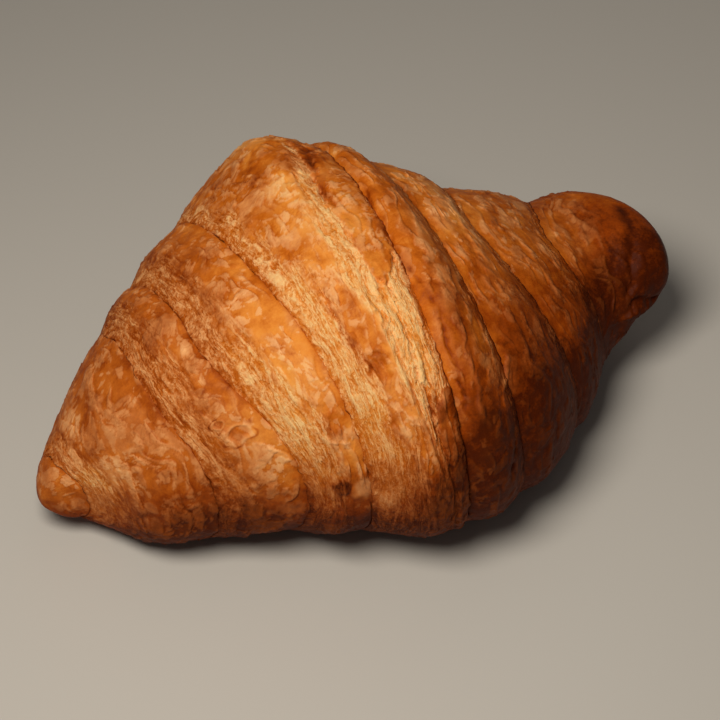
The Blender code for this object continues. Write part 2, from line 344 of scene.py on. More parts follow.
def line_weights(x, degrees, stray, broken):
    """How much each point lies on the drawn lines, thin ones broken here and there: lift, pale
    and brown."""
    lift, pale, brown = np.zeros_like(x), np.zeros_like(x), np.zeros_like(x)
    for points, width, line_lift, line_pale, line_brown in LINES:
        places, turns = np.array([p[0] for p in points]), np.array([p[1] for p in points])
        lean = (places[-1] - places[0]) / ((turns[-1] - turns[0]) * ARC)
        apart = (x + stray - np.interp(degrees, turns, places)) / math.hypot(1.0, lean)
        ends = soft_step(degrees, turns[0] - 4, turns[0] + 2)
        ends = ends * (1 - soft_step(degrees, turns[-1] - 2, turns[-1] + 4))
        weight = np.exp(-(apart / width) ** 2) * ends * (broken if width < WIDE_LINE else 1.0)
        lift += line_lift * weight
        pale += line_pale * weight
        brown += line_brown * weight
    return lift, pale, brown


def patch_weights(x, degrees, ragged):
    """How much each point lies in the drawn patches: lift, pale and brown."""
    lift, pale, brown = np.zeros_like(x), np.zeros_like(x), np.zeros_like(x)
    for place, turn, length, width, patch_lift, patch_pale, patch_brown in PATCHES:
        apart = np.hypot((x - place) / width, (degrees - turn) * ARC / length) + ragged
        weight = 1 - soft_step(apart, 0.6, 1.25)
        lift += patch_lift * weight
        pale += patch_pale * weight
        brown += patch_brown * weight
    for place, turn, length, width in BLISTERS:
        apart = np.hypot((x - place) / width, (degrees - turn) * ARC / length) + 1.3 * ragged
        whole = soft_step(ragged, -0.12, 0.12)
        rim = np.exp(-((apart - 1) / 0.2) ** 2) * (0.3 + 0.7 * whole)
        hollow = 1 - soft_step(apart, 0.6, 1.0)
        lift += 0.35 * rim - 0.12 * hollow
        pale += 0.4 * rim
        brown += 0.16 * hollow + 0.3 * np.exp(-((apart - 1.3) / 0.12) ** 2) * (1 - whole)
    return lift, pale, brown


# ---------------------------------------------------------------------------------------------
# Shells of dough.

def deselect_all():
    if bpy.context.mode != "OBJECT":
        bpy.ops.object.mode_set(mode="OBJECT")
    bpy.ops.object.select_all(action="DESELECT")


def dough_tube(name, around, across):
    """An open tube along X, cut into rings, that a wrap is shaped from."""
    deselect_all()
    bpy.ops.mesh.primitive_cylinder_add(vertices=around, radius=1.0, depth=1.0,
                                        end_fill_type="NOTHING", rotation=(0, math.pi / 2, 0))
    tube = bpy.context.active_object
    tube.name = tube.data.name = name
    bpy.ops.object.transform_apply(location=True, rotation=True, scale=True)
    bpy.ops.object.mode_set(mode="EDIT")
    bpy.ops.mesh.select_mode(type="EDGE")
    for cuts in across:
        bpy.ops.mesh.select_all(action="DESELECT")
        bpy.ops.object.mode_set(mode="OBJECT")
        spots = read_points(tube)
        ends = np.empty(len(tube.data.edges) * 2, dtype=np.int32)
        tube.data.edges.foreach_get("vertices", ends)
        ends = ends.reshape(-1, 2)
        lengthwise = np.abs(spots[ends[:, 0], 0] - spots[ends[:, 1], 0]) > 1e-5
        tube.data.edges.foreach_set("select", lengthwise)
        bpy.ops.object.mode_set(mode="EDIT")
        bpy.ops.mesh.subdivide(number_cuts=cuts)
    bpy.ops.object.mode_set(mode="OBJECT")
    return tube


def read_points(piece):
    spots = np.empty(len(piece.data.vertices) * 3, dtype=np.float32)
    piece.data.vertices.foreach_get("co", spots)
    return spots.reshape(-1, 3).astype(np.float64)


def place_points(piece, spots):
    """Put a piece's points where they belong, given in millimetres from the rolling axis."""
    spots = spots + np.array((SHIFT_X, 0.0, 0.0))
    spots[:, 2] = np.maximum(spots[:, 2], 0.0)
    piece.data.vertices.foreach_set("co", (spots * MM).astype(np.float32).ravel())
    piece.data.update()


def note(piece, name, values):
    """Keep one number or one direction for each point of a piece."""
    kind = "FLOAT" if values.ndim == 1 else "FLOAT_VECTOR"
    layer = piece.data.attributes.new(name, kind, "POINT")
    key = "value" if values.ndim == 1 else "vector"
    layer.data.foreach_set(key, values.astype(np.float32).ravel())


def cut_width(cut, angle):
    """How far a cut edge reaches over the crust at an angle; under the base it ends."""
    under = soft_step(-np.sin(angle), 0.2, 0.7)
    turns, widths = zip(*cut)
    return np.interp(np.degrees(angle), turns, widths) * SLANT * (1 - under)


def terrace(value, period, start):
    """Steps with a short rise and a long run, around nought."""
    part = value / period + start
    part = part - np.floor(part)
    return soft_step(part, 0.0, 0.3) - part


def wander(lay, flat):
    """Places along the wrap, drifting to either side as the strands of a torn edge do."""
    drift = 1.6 * clouds(lay, (7.0, 14.0, 14.0), 21) + 0.7 * clouds(lay, (2.6, 7.0, 7.0), 22)
    drift += 0.25 * clouds(flat, (1.4, 1.4, 1.4), 20)
    return lay + np.stack((drift, 0 * drift, 0 * drift), axis=1)


def cut_edge_relief(face, bent, flat):
    """Thin layers of dough, seen from their torn ends: lift, and how bright they catch the bake,
    with painted glints on the highest crumbs.
    """
    torn = ragged_spots(bent, (2.5, 5.0, 5.0), 0.4, 61)
    bundles = shards(torn, (1.8, 8.0, 8.0), 23)
    leaves = shards(torn, (0.7, 3.4, 3.4), 24)
    strands = clouds(bent, (0.55, 3.2, 3.2), 19)
    grit = clouds(flat, (0.6, 0.6, 0.6), 25)
    crumbs = shards(bent, (0.6, 1.3, 1.3), 26)
    crumbly = soft_step(clouds(flat, (4.0, 4.0, 4.0), 28), -0.1, 0.5)
    layers = terrace(face + bent[:, 1] * 0.05, 2.4, 0.3)
    shown = soft_step(clouds(flat, (3.0, 5.0, 5.0), 29), -0.3, 0.2)
    seam = soft_step(0.13 - bundles[2], 0.0, 0.13) * shown
    hair = np.maximum(0, 1 - 6 * np.abs(clouds(bent, (1.5, 12.0, 12.0), 30))) * shown
    lift = 0.08 * layers + 0.1 * bundles[0] + 0.08 * bundles[1] + 0.1 * leaves[0]
    lift += 0.08 * strands + 0.07 * grit - 0.08 * seam - 0.08 * hair
    lift += (0.02 + 0.1 * crumbly) * crumbs[0] + 0.18 * clouds(flat, (3.0, 4.0, 4.0), 27)
    bright = 0.44 + 0.12 * bundles[0] + 0.15 * leaves[0] + 0.12 * strands + 0.08 * grit
    bright += 0.12 * clouds(bent, (1.6, 8.0, 8.0), 18)
    bright += 0.05 * layers - 0.2 * seam - 0.28 * hair
    # Painted glints: the highest crumbs are made paler, as if catching the light.
    bright += 0.32 * (crumbs[0] > 0.62) * (0.5 + 0.5 * crumbly)
    return lift, bright


# Flakes of the skin: size, share of the crowded skin that they cover, how pale, lift.
FLAKES = ((3.4, 0.45, 0.6, 0.09), (1.8, 0.5, 0.85, 0.09), (0.95, 0.36, 1.0, 0.07))


def flakes_of(places, crowd, fine):
    """Thin flat flakes with ragged rims, most where they crowd: lift, paleness, and painted shade
    along the rims as thin brown lines.
    """
    torn = ragged_spots(places, (1.7, 1.7, 1.7), 0.7, 71)
    torn = ragged_spots(torn, (0.7, 0.7, 0.7), 0.3, 75)
    lift, pale, brown = (np.zeros(len(places), dtype=np.float32) for each in range(3))
    for number, (size, share, paleness, height) in enumerate(FLAKES):
        share = share * (fine if size < 2 else 1.0)
        level, tilt, gap = shards(torn, (size, size, size), 31 + number)
        least = 1 - 2 * share * crowd
        here = soft_step(level - least, 0.0, 0.04)
        strength = 0.55 + 0.45 * np.clip((level - least) / 0.6, 0, 1)
        pale = np.maximum(pale, here * strength * paleness)
        lift += here * height * (1.0 + 1.2 * tilt)
        # Painted shade: a thin brown line along each flake's rim.
        brown += (1 - soft_step(gap, 0.02, 0.12)) * 0.06 * soft_step(crowd, 0.1, 0.5)
    return lift, pale, brown


def skin_relief_of(lay, flat, drawn, fine, smooth, dry):
    """Egg-washed skin: long low folds, blisters and flakes, drawn out along the wrap and most
    where it is dry. Lift, and where it is pale or brown, with painted highlights on the folds'
    rims and painted shade at their feet and on tilted sheets."""
    bent = lay + 2.2 * clouds(flat, (7.0, 7.0, 7.0), 33)[:, None]
    fold = bent[:, 0] + 2.2 * clouds(bent, (4.0, 9.0, 9.0), 34)
    fold += 1.0 * clouds(bent, (1.8, 5.0, 5.0), 35)
    lap = fold / 3.3 - np.floor(fold / 3.3)
    shown = soft_step(clouds(flat, (5.5, 5.5, 5.5), 36), -0.3, 0.3)
    rise = lap * (1 - soft_step(lap, 0.86, 1.0))
    rim = soft_step(lap, 0.3, 0.85) * (1 - soft_step(lap, 0.9, 0.97)) * shown
    foot = soft_step(lap, 0.93, 1.0) + (1 - soft_step(lap, 0.0, 0.12))
    blister = soft_step(clouds(flat, (3.0, 3.0, 3.0), 38), 0.25, 0.65)
    sheets = shards(ragged_spots(bent, (2.0, 2.0, 2.0), 0.9, 74), (5.0, 7.0, 7.0), 37)

    crowd = soft_step(clouds(flat, (5.0, 5.0, 5.0), 46), -0.5, 0.4) * (1 - 0.75 * smooth) + dry
    crowd = np.clip(crowd * (0.5 + 0.6 * rim) + 0.25 * rim, 0, 1)
    flakes = flakes_of(bent * np.array((1.0, drawn, drawn)), crowd, fine)

    lift = 0.28 * shown * rise + 0.14 * blister + flakes[0]
    lift += 0.03 * sheets[0] + 0.08 * sheets[1]
    lift += 0.2 * clouds(flat, (3.2, 3.2, 3.2), 39) + 0.04 * clouds(flat, (1.1, 1.1, 1.1), 40)
    # Painted highlight: the folds' rims are paler.
    pale = 0.25 * rim + 0.1 * (sheets[0] > 0.3) * (1 - smooth)
    pale = pale + (1 - pale) * flakes[1]
    # Painted shade: browner at the folds' feet and on the sheets' tilted sides, less brown on the
    # rising slopes.
    brown = 0.08 * shown * foot - 0.04 * rise * shown + 0.04 * sheets[1] + flakes[2]
    brown += 0.05 * clouds(bent, (2.4, 5.0, 5.0), 47) + 0.05 * blister
    return lift, pale, brown


def rings_of(pole, across):
    """Spread a wrap's rings over its width, the ones at either end hidden: each point's share of
    the width, and how deep it lies in the low and in the high hidden margin."""
    start = 0.0 if pole == "low" else TUCK_SHARE
    end = 1.0 if pole == "high" else 1 - TUCK_SHARE
    low_tuck = np.clip(1 - across / start, 0, 1) if start else np.zeros_like(across)
    high_tuck = np.clip((across - end) / (1 - end), 0, 1) if end < 1 else np.zeros_like(across)
    share = np.clip((across - start) / (end - start), 0, 1)
    if pole == "low":
        share = np.sin(0.5 * math.pi * share)
    elif pole == "high":
        share = 1 - np.sin(0.5 * math.pi * (1 - share))
    return share, low_tuck, high_tuck


def wrap_height(low, high, profile, share, angle):
    """Height of a wrap over the loaf's section: by its profile, or as a tip."""
    low_step = step_height(CREASES[0 if low is None else low], angle)
    high_step = step_height(CREASES[-1 if high is None else high], angle)
    if low is None:
        return -0.5 * share**4 * high_step
    if high is None:
        groove = TIP_GROOVE * (1 - share) ** 8
        return (TIP_SWELL * np.sin(math.pi * (1 - share)) - groove) * low_step
    step = low_step + (high_step - low_step) * share
    return curve_through(profile[:, 0], profile[:, 1],
                         1 - share if profile is RIGHT_WRAP else share) * step


def lay_out(piece, low, high, pole, profile):
    """Where each point of a wrap lies: along X, round the loaf, in the hidden margins, over the
    crust from either crease, and along the wrap's own strands."""
    at = SimpleNamespace()
    spots = read_points(piece)
    turn = np.arctan2(spots[:, 2], spots[:, 1])
    angle = turn + CROWN_BUNCHING * np.cos(turn)
    at.angle = np.where(angle < -math.pi / 2, angle + 2 * math.pi, angle)
    at.degrees = np.degrees(at.angle)
    at.share, at.low_tuck, at.high_tuck = rings_of(pole, spots[:, 0] + 0.5)
    low_x = LEFT_TIP[1] if low is None else crease_x(CREASES[low], at.angle)
    high_x = RIGHT_TIP[1] if high is None else crease_x(CREASES[high], at.angle)
    width = high_x - low_x
    at.x = low_x + width * at.share
    at.height = wrap_height(low, high, profile, at.share, at.angle)
    at.from_low = at.share * width * SLANT
    at.from_high = (1 - at.share) * width * SLANT
    at.flat = loaf_point(at.x, at.angle, at.height)
    along = at.share * float(np.mean(width)) * SLANT + WRAP_APART * (low or 0)
    at.lay = np.stack((along, at.flat[:, 1], at.flat[:, 2]), axis=1)
    at.strand = wander(at.lay, at.flat)
    at.leftward = soft_step(at.x, -14.0, -34.0)
    at.under = soft_step(-np.sin(at.angle), 0.2, 0.6)
    return at


def skin_cover(at, edges, crown):
    """Where a wrap has skin: its share, torn unevenly along the strands near the cut edges, the
    torn rim, and the skin that is kept over the crown's cut edge."""
    tear = 1.5 * clouds(at.flat, (6.0, 7.0, 7.0), 11) + 0.5 * clouds(at.flat, (1.2, 1.2, 1.2), 13)
    tear += 3.0 * clouds(at.strand, (1.3, 9.0, 9.0), 12)
    tear += 1.2 * clouds(at.strand, (0.6, 5.0, 5.0), 15)
    soft = 0.8 + 1.6 * soft_step(clouds(at.flat, (5.0, 5.0, 5.0), 14), -0.2, 0.4)
    soft += 1.6 * at.leftward
    skin, kept = np.ones_like(at.x), np.zeros_like(at.x)
    for apart, cut in edges:
        skin = skin * soft_step((apart + tear - cut_width(cut, at.angle)) / soft, -1, 1)
    if crown:
        x = at.x + 0.8 * clouds(at.flat, (1.6, 1.6, 1.6), 16)
        for table in CROWN_SKINS:
            left, right = (np.interp(at.degrees, table[:, 0], table[:, column], -99, -99)
                           for column in (1, 2))
            part = soft_step(x - left, -0.3, 0.3) * soft_step(right - x, -0.3, 0.3)
            kept = np.maximum(kept, part)
        skin = np.maximum(skin, kept)
    torn_rim = 4 * skin * (1 - skin)
    glazed = 0.08 * at.leftward + 0.45 * soft_step(at.degrees, 150, 174)
    return glazed + (1 - glazed) * skin, torn_rim, kept


def skin_of_wrap(at, pole, profile, low_cut, crown):
    """The skin's lift, paleness and brown, calmer on the right tip and drier to the left."""
    drawn = 0.5 if pole == "high" else 0.85
    fine = 0.55 if profile is RIGHT_WRAP or pole == "high" else 1.0
    smooth = np.exp(-((at.from_high if low_cut else at.from_low) / 4.5) ** 2) * (not crown)
    lift, pale, brown = skin_relief_of(at.lay, at.flat, drawn, fine, smooth, 0.2 * at.leftward)
    calm = 1 - 0.5 * soft_step(at.x, 62.0, 68.0)
    lift, pale, brown = calm * lift, calm * pale, calm * brown
    pale += (0.06 + 0.25 * pale) * at.leftward
    # Painted shade: the skin is less pale on the lower right, where shade falls, and a little paler
    # on its top.
    pale *= 1 - soft_step(at.x, 12.0, 18.0) * (0.75 * soft_step(at.degrees, 108, 165) - 0.12)
    pale *= 1 - 0.92 * soft_step(at.x, 60.0, 65.0)
    pale *= 1 - 0.75 * at.under
    return lift, pale, brown


def drawn_marks(at):
    """Lift, paleness and brown of the lines and of the patches."""
    stray = 0.6 * clouds(at.flat, (3.5, 3.5, 3.5), 42)
    stray += 0.25 * clouds(at.flat, (1.1, 1.1, 1.1), 43)
    broken = 0.25 + 0.75 * soft_step(clouds(at.flat, (2.2, 2.2, 2.2), 17), -0.4, 0.2)
    broken = np.maximum(broken, soft_step(at.x, 58.0, 62.0))
    ragged = 0.35 * clouds(at.flat, (1.8, 1.8, 1.8), 44)
    return (line_weights(at.x, at.degrees, stray, broken),
            patch_weights(at.x, at.degrees, ragged))


def shell_points(at, relief, low_cut, high_cut):
    """Points of the shell. A cut edge hangs a little over the wrap below, except under the base,
    and both hidden margins dive under the surface."""
    tip = tip_rounding(at.x)
    push = at.height + swell(at.x, at.angle) * tip + relief * tip ** 0.5
    hang = 0.8 * clouds(at.lay, (50.0, 5.0, 5.0), 41) + 1.1 * clouds(at.lay, (50.0, 1.7, 1.7), 48)
    hang = LIP * (0.8 - 0.5 * at.leftward + hang) * (1 - at.under)
    x = at.x
    for cut, tuck, apart, inward in ((low_cut, at.low_tuck, at.from_low, 1.0),
                                     (high_cut, at.high_tuck, at.from_high, -1.0)):
        if cut:
            x = x - inward * hang * np.exp(-(apart / LIP_ROOT) ** 2) * (tuck <= 0)
            x = x + inward * LIP_TUCK * tuck
        else:
            x = x - inward * PLAIN_TUCK * tuck
            push = push - PLAIN_SINK * (tuck > 0)
        push = push - TUCK_DEPTH * tuck
    shell = loaf_point(x, at.angle, push)
    hidden = np.maximum(at.low_tuck, at.high_tuck)
    shell[:, 2] = np.maximum(shell[:, 2], TUCK_DEPTH * hidden)
    return shell


# Brown by place, partly the bake and partly painted shade and light: darker to the right, to
# the left and towards the base where shade falls, lighter in places where the light falls.
# How much, then the ranges along X in millimetres and round the loaf in degrees, each from
# where it starts to where it is full.
PALEST = 0.24
BROWN_AND_SHADE = (
    (0.299, ((4, 15),), ()),
    (0.161, ((4, 15),), ((95, 130),)),
    (0.16, ((30, 55),), ((80, 125),)),
    (0.17, ((-18, -30),), ()),
    (0.18, ((-32, -44),), ()),
    (-0.08, ((-52, -60),), ()),
    (0.16, ((-4, -12), (-40, -30)), ((115, 90),)),
    (-0.12, ((-36, -46),), ((120, 145),)),
    (0.5, ((-8, 8),), ((136, 172),)),
    (0.22, ((-26, -16),), ((158, 174),)),
    (0.2, ((54, 66),), ((50, 85),)),
    (0.16, ((-42, -52),), ((150, 176),)),
    (0.08, ((-57, -62),), ()),
    (0.08, (), ((60, 25),)),
)
# Bands round the loaf, lighter or darker as painted light and shade: how much, middle along X,
# half width, range of degrees.
BROWN_AND_SHADE_BANDS = ((-0.2, 26, 7, (118, 90)), (-0.1, 46, 6, (155, 135)), (0.15, 31, 8, (120, 140)))
# Towards the base, brown and painted shade, and at the foot a painted contact shadow with a
# browner base rim: how much, and up to how high.
BROWN_AND_SHADE_LOW, BROWN_AND_SHADE_FOOT = (0.85, 36.0), (0.3, 12.0)


def brown_and_painted_shade(at, skin):
    """How brown the crust is, from about nought to one: its own brown from the bake, with painted
    shade and light by place.
    """
    level = at.flat[:, 2]
    baked = PALEST - 0.06 * (1 - skin)
    for amount, along, around in BROWN_AND_SHADE:
        for value, ranges in ((at.x, along), (at.degrees, around)):
            for first, full in ranges:
                amount = amount * soft_step(value, first, full)
        baked = baked + amount
    for amount, middle, width, around in BROWN_AND_SHADE_BANDS:
        band = np.exp(-((at.x - middle) / width) ** 2)
        baked += amount * band * soft_step(at.degrees, *around)
    # Painted shade towards the base, and a painted contact shadow at the foot, partly a browner
    # base.
    baked += BROWN_AND_SHADE_LOW[0] * soft_step(level, BROWN_AND_SHADE_LOW[1], 0) * soft_step(at.x, -60, -40)
    baked += BROWN_AND_SHADE_FOOT[0] * soft_step(level, BROWN_AND_SHADE_FOOT[1], 0)
    uneven = 0.12 * clouds(at.flat, (12, 12, 12), 51) + 0.12 * clouds(at.flat, (4.5, 4.5, 4.5), 52)
    uneven += 0.08 * clouds(at.strand, (1.8, 9.0, 9.0), 53)
    uneven += 0.05 * clouds(at.flat, (1.5, 1.5, 1.5), 54)
    return baked + uneven * (1 - 0.5 * soft_step(baked, 0.4, 0.8)) * (0.4 + 0.6 * skin)


def build_wrap(name, low, high, low_cut, high_cut, profile, around, cuts):
    """One wrap of the croissant as a closed shell, between two creases or from a crease to a tip.
    low_cut and high_cut tell how far its cut edges reach."""
    piece = dough_tube(name, around, cuts)
    pole = "low" if low is None else "high" if high is None else None
    crown = bool(low_cut and high_cut)
    at = lay_out(piece, low, high, pole, profile)
    edges = [(apart, cut) for apart, cut in ((at.from_low, low_cut), (at.from_high, high_cut))
             if cut]
    skin, torn_rim, kept = skin_cover(at, edges, crown)
    skin_lift, skin_pale, skin_brown = skin_of_wrap(at, pole, profile, low_cut, crown)
    (line_lift, line_pale, line_brown), (patch_lift, patch_pale, patch_brown) = drawn_marks(at)

    rough = 1.0
    if crown:
        face = np.minimum(at.from_low, at.from_high)
        rough += 0.8 * soft_step(at.share, 0.6, 0.68) * soft_step(at.degrees, 95, 112)
    else:
        face = at.from_low if low_cut else at.from_high
    cut_lift, cut_bright = cut_edge_relief(face, at.strand, at.flat)

    relief = skin * (0.15 + skin_lift + 0.35 * kept) + (1 - skin) * rough * cut_lift
    relief += line_lift + patch_lift
    relief *= 1 - soft_step(-np.sin(at.angle), 0.6, 0.9)
    shell = shell_points(at, relief, low_cut, high_cut)
    place_points(piece, shell)
    at.x = shell[:, 0]

    # What the finish reads: skin or cut edge, how brown it is with painted shade and light, dry
    # pale flakes with painted highlights, and depth in the layers with painted shade near the
    # creases.
    baked = brown_and_painted_shade(at, skin)
    baked += skin * skin_brown + line_brown + patch_brown + 0.1 * torn_rim + 0.12 * kept
    # Painted shade in the creases: near each crease the crust is made browner and its strands
    # darker, where shade falls.
    near_crease = np.exp(-np.minimum(at.from_low + 9 * (low is None),
                                     at.from_high + 9 * (high is None)) / 0.9)
    painted_crease_shade = (0.22 - 0.12 * at.leftward - 0.12 * soft_step(at.x, 4.0, 12.0)) * near_crease
    dry = np.clip(skin * skin_pale + line_pale + patch_pale, 0, 1)
    bright = 0.5 + (cut_bright - 0.46) * (1 - 0.12 * at.leftward) + 0.4 * line_pale
    # Painted light: the strands in the middle of the loaf are paler, where the light falls most.
    bright += 0.1 * np.exp(-((at.x + 1) / 14) ** 2) * soft_step(at.degrees, 160, 130)
    shade = (0.3 - 0.15 * at.leftward) * near_crease
    # The brown attribute holds the crust's own brown with painted shade and light; depth holds the
    # strands' brightness with painted crease shade, painted light in the middle and painted glints.
    note(piece, "strand", at.strand)
    note(piece, "skin", skin)
    note(piece, "brown", np.clip(baked + painted_crease_shade, 0, 1))
    note(piece, "pale", dry * (1 - 0.25 * soft_step(baked, 0.45, 0.8)))
    note(piece, "depth", np.clip(bright - shade, 0, 1))
    close_wrap(piece, pole)
    return piece


def close_wrap(piece, pole):
    """Close the hidden margins of a wrap, and the pole of a tip."""
    deselect_all()
    piece.select_set(True)
    bpy.context.view_layer.objects.active = piece
    bpy.ops.object.mode_set(mode="EDIT")
    bpy.ops.mesh.select_mode(type="VERT")
    bpy.ops.mesh.select_all(action="SELECT")
    if pole:
        bpy.ops.mesh.remove_doubles(threshold=1e-6)
    bpy.ops.mesh.select_all(action="DESELECT")
    bpy.ops.mesh.select_mode(type="EDGE")
    bpy.ops.mesh.select_non_manifold(extend=False, use_wire=False, use_boundary=True,
                                     use_multi_face=False, use_non_contiguous=False,
                                     use_verts=False)
    if pole:
        bpy.ops.mesh.extrude_edges_move()
        bpy.ops.mesh.merge(type="CENTER")
    else:
        bpy.ops.mesh.bridge_edge_loops()
    bpy.ops.mesh.select_all(action="SELECT")
    bpy.ops.mesh.normals_make_consistent(inside=False)
    bpy.ops.object.mode_set(mode="OBJECT")
    bpy.ops.object.shade_smooth()


# ---------------------------------------------------------------------------------------------
# The crust's finish.

def add_node(tree, kind, **settings):
    node = tree.nodes.new(kind)
    for name, value in settings.items():
        setattr(node, name, value)
    return node


def feed(tree, source, target):
    """Give a socket a number, a colour or another node's output."""
    if isinstance(source, bpy.types.NodeSocket):
        tree.links.new(source, target)
    else:
        target.default_value = source


def attribute(tree, name):
    return add_node(tree, "ShaderNodeAttribute", attribute_name=name)


def ramp(tree, source, stops):
    """Colours along a value from nought to one."""
    node = add_node(tree, "ShaderNodeValToRGB")
    while len(node.color_ramp.elements) < len(stops):
        node.color_ramp.elements.new(0.5)
    for element, (at, colour) in zip(node.color_ramp.elements, stops):
        element.position = at
        element.color = (*colour, 1.0)
    feed(tree, source, node.inputs["Fac"])
    return node.outputs["Color"]


def arithmetic(tree, operation, *values, clamp=False):
    node = add_node(tree, "ShaderNodeMath", operation=operation, use_clamp=clamp)
    for value, target in zip(values, node.inputs):
        feed(tree, value, target)
    return node.outputs[0]


def blend_colours(tree, kind, factor, first, second):
    node = add_node(tree, "ShaderNodeMix", data_type="RGBA", blend_type=kind)
    feed(tree, factor, node.inputs[0])
    feed(tree, first, node.inputs[6])
    feed(tree, second, node.inputs[7])
    return node.outputs[2]


def blend_values(tree, factor, first, second):
    node = add_node(tree, "ShaderNodeMix", data_type="FLOAT")
    feed(tree, factor, node.inputs[0])
    feed(tree, first, node.inputs[2])
    feed(tree, second, node.inputs[3])
    return node.outputs[0]


def grain(tree, place, size_mm, detail=2.0, roughness=0.5):
    """Noise from 0 to 1, on places in metres."""
    node = add_node(tree, "ShaderNodeTexNoise")
    feed(tree, place, node.inputs["Vector"])
    node.inputs["Scale"].default_value = 1 / (size_mm * MM)
    node.inputs["Detail"].default_value = detail
    node.inputs["Roughness"].default_value = roughness
    return node.outputs["Fac"]


def drawn_out(tree, strand, share):
    """Places along a wrap in metres, shortened round the loaf so that patterns stretch there."""
    node = add_node(tree, "ShaderNodeVectorMath", operation="MULTIPLY")
    tree.links.new(strand, node.inputs[0])
    node.inputs[1].default_value = (MM, share * MM, share * MM)
    return node.outputs[0]


def thin_line(tree, value, at):
    """A thin line, one in its middle, where a value passes a level."""
    apart = arithmetic(tree, "ABSOLUTE", arithmetic(tree, "SUBTRACT", value, at))
    return arithmetic(tree, "MULTIPLY_ADD", apart, -9.0, 1.0, clamp=True)


# Colours by how brown the crust is, its painted shade included, of the egg-washed skin and of dry
# flakes and strands.
SKIN_COLOURS = (
    (0.0, (0.87, 0.36, 0.065)), (0.25, (0.77, 0.255, 0.034)), (0.5, (0.53, 0.122, 0.007)),
    (0.75, (0.29, 0.046, 0.0012)), (1.0, (0.075, 0.0098, 0.0004)))
DRY_COLOURS = (
    (0.1, (0.95, 0.61, 0.27)), (0.35, (0.88, 0.45, 0.19)), (0.6, (0.64, 0.24, 0.075)),
    (0.9, (0.33, 0.077, 0.012)))
CUT_ROUGHNESS, SKIN_ROUGHNESS = 0.55, 0.42
FINEST_BUMP = 0.00022                # metres


def baked_colour():
    """Colour of egg-washed crust by how brown it is, its painted shade included, blotched finely.
    """
    group = bpy.data.node_groups.new("baked colour", "ShaderNodeTree")
    for name in ("Browning", "Paleness"):
        group.interface.new_socket(name, in_out="INPUT", socket_type="NodeSocketFloat")
    group.interface.new_socket("Colour", in_out="OUTPUT", socket_type="NodeSocketColor")
    given = add_node(group, "NodeGroupInput")
    result = add_node(group, "NodeGroupOutput")
    place = add_node(group, "ShaderNodeTexCoord").outputs["Object"]
    blotch = arithmetic(group, "SUBTRACT", grain(group, place, 1.8, 3.0, 0.6), 0.5)
    speck = arithmetic(group, "SUBTRACT", grain(group, place, 0.5, 2.0, 0.6), 0.5)
    brown = arithmetic(group, "MULTIPLY_ADD", blotch, 0.32, given.outputs["Browning"])
    brown = arithmetic(group, "MULTIPLY_ADD", speck, 0.2, brown)
    paleness = arithmetic(group, "MULTIPLY", given.outputs["Paleness"],
                          arithmetic(group, "ADD", speck, 0.85), clamp=True)
    colour = blend_colours(group, "MIX", paleness, ramp(group, brown, SKIN_COLOURS),
                           ramp(group, brown, DRY_COLOURS))
    feed(group, colour, result.inputs["Colour"])
    return group


def use_group(tree, group, **given):
    node = add_node(tree, "ShaderNodeGroup", node_tree=group)
    for name, value in given.items():
        feed(tree, value, node.inputs[name])
    return node.outputs[0]


